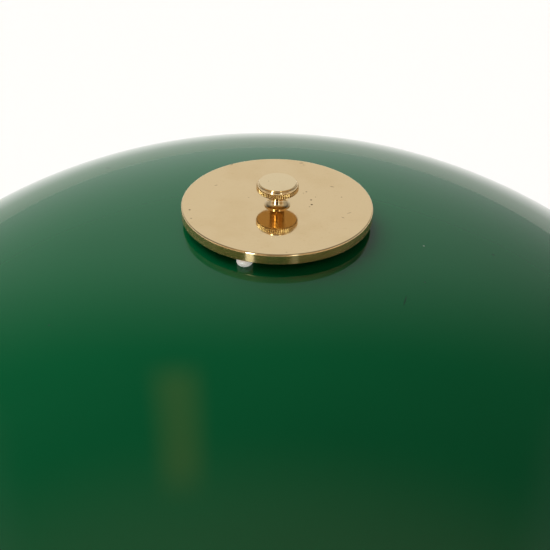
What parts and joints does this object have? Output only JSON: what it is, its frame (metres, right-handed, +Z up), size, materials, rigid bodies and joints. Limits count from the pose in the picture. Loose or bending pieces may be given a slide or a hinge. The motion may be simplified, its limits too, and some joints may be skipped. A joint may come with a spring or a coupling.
{
  "type": "desk lamp",
  "caption": "Desk lamp with a glossy green glass dome shade held by a flat brass cap and knurled finial, on a brass column and round weighted base, with pull-chain bulb sockets.",
  "frame": {"origin": "on the table under the middle of the base", "axes": "+Z up along the column, +X along the right-hand socket, +Y towards the cord inlet at the back"},
  "size_m": [0.356, 0.356, 0.4523],
  "materials": {
    "green_glass": "glossy cased glass, deep green outside and white inside",
    "polished_brass": "polished brass, lightly aged",
    "plated_steel": "plain plated steel",
    "black_rubber": "matt rubber",
    "pale_pad": "pale soft pad",
    "felt": "pressed felt",
    "cast_iron": "rough casting",
    "black_moulding": "moulded black phenolic",
    "fibre_liner": "pressed fibre sleeve",
    "bright_aluminium": "drawn aluminium",
    "frosted_glass": "frosted white bulb glass"
  },
  "bodies": {
    "lamp": {"base_nut": "plated_steel", "base_shell": "polished_brass", "base_washer": "plated_steel", "base_weight": "cast_iron", "bulb_base_left": "bright_aluminium", "bulb_base_right": "bright_aluminium", "bulb_glass_left": "frosted_glass", "bulb_glass_right": "frosted_glass", "cap_bumpers": "pale_pad", "cap_disc": "polished_brass", "centre_contact_left": "polished_brass", "centre_contact_right": "polished_brass", "chain_guide_left": "polished_brass", "chain_guide_right": "polished_brass", "cluster_body": "polished_brass", "cluster_cover": "polished_brass", "column_cap": "polished_brass", "column_foot": "polished_brass", "column_tube": "polished_brass", "cord_bushing": "black_moulding", "felt_pad": "felt", "lower_gasket": "black_rubber", "pipe_nut": "plated_steel", "riser_stem": "plated_steel", "screw_shell_left": "bright_aluminium", "screw_shell_right": "bright_aluminium", "seat_nut": "plated_steel", "shade": "green_glass", "shade_seat": "polished_brass", "socket_cap_left": "polished_brass", "socket_cap_right": "polished_brass", "socket_core_left": "black_moulding", "socket_core_right": "black_moulding", "socket_liner_left": "fibre_liner", "socket_liner_right": "fibre_liner", "socket_nipple_left": "plated_steel", "socket_nipple_right": "plated_steel", "socket_shell_left": "polished_brass", "socket_shell_right": "polished_brass", "stem_nut": "plated_steel", "threaded_pipe": "plated_steel", "upper_gasket": "black_rubber"},
    "finial_stud": {"finial_stud": "plated_steel"},
    "finial": {"finial": "polished_brass"},
    "left_pull": {"pull_chain_left": "polished_brass", "pull_ball_left": "polished_brass"},
    "right_pull": {"pull_chain_right": "polished_brass", "pull_ball_right": "polished_brass"}
  },
  "joints": [
    {"name": "finial_rise", "type": "slide", "parent": "lamp", "child": "finial_stud", "axis": [0, 0, 1], "range_m": [0, 0.0056]},
    {"name": "finial_turn", "type": "hinge", "parent": "finial_stud", "child": "finial", "pos_m": [0, 0, 0.443], "axis": [0, 0, 1], "range_deg": [0, 2880]},
    {"name": "left_pull", "type": "slide", "parent": "lamp", "child": "left_pull", "axis": [0, 0, -1], "range_m": [0, 0.01], "stiffness_N_per_m": 250, "springref_m": -0.004},
    {"name": "right_pull", "type": "slide", "parent": "lamp", "child": "right_pull", "axis": [0, 0, -1], "range_m": [0, 0.01], "stiffness_N_per_m": 250, "springref_m": -0.004}
  ],
  "couplings": [
    {"joint": "finial_rise", "follows": "finial_turn", "m_per_rad": 0.00011141}
  ]
}
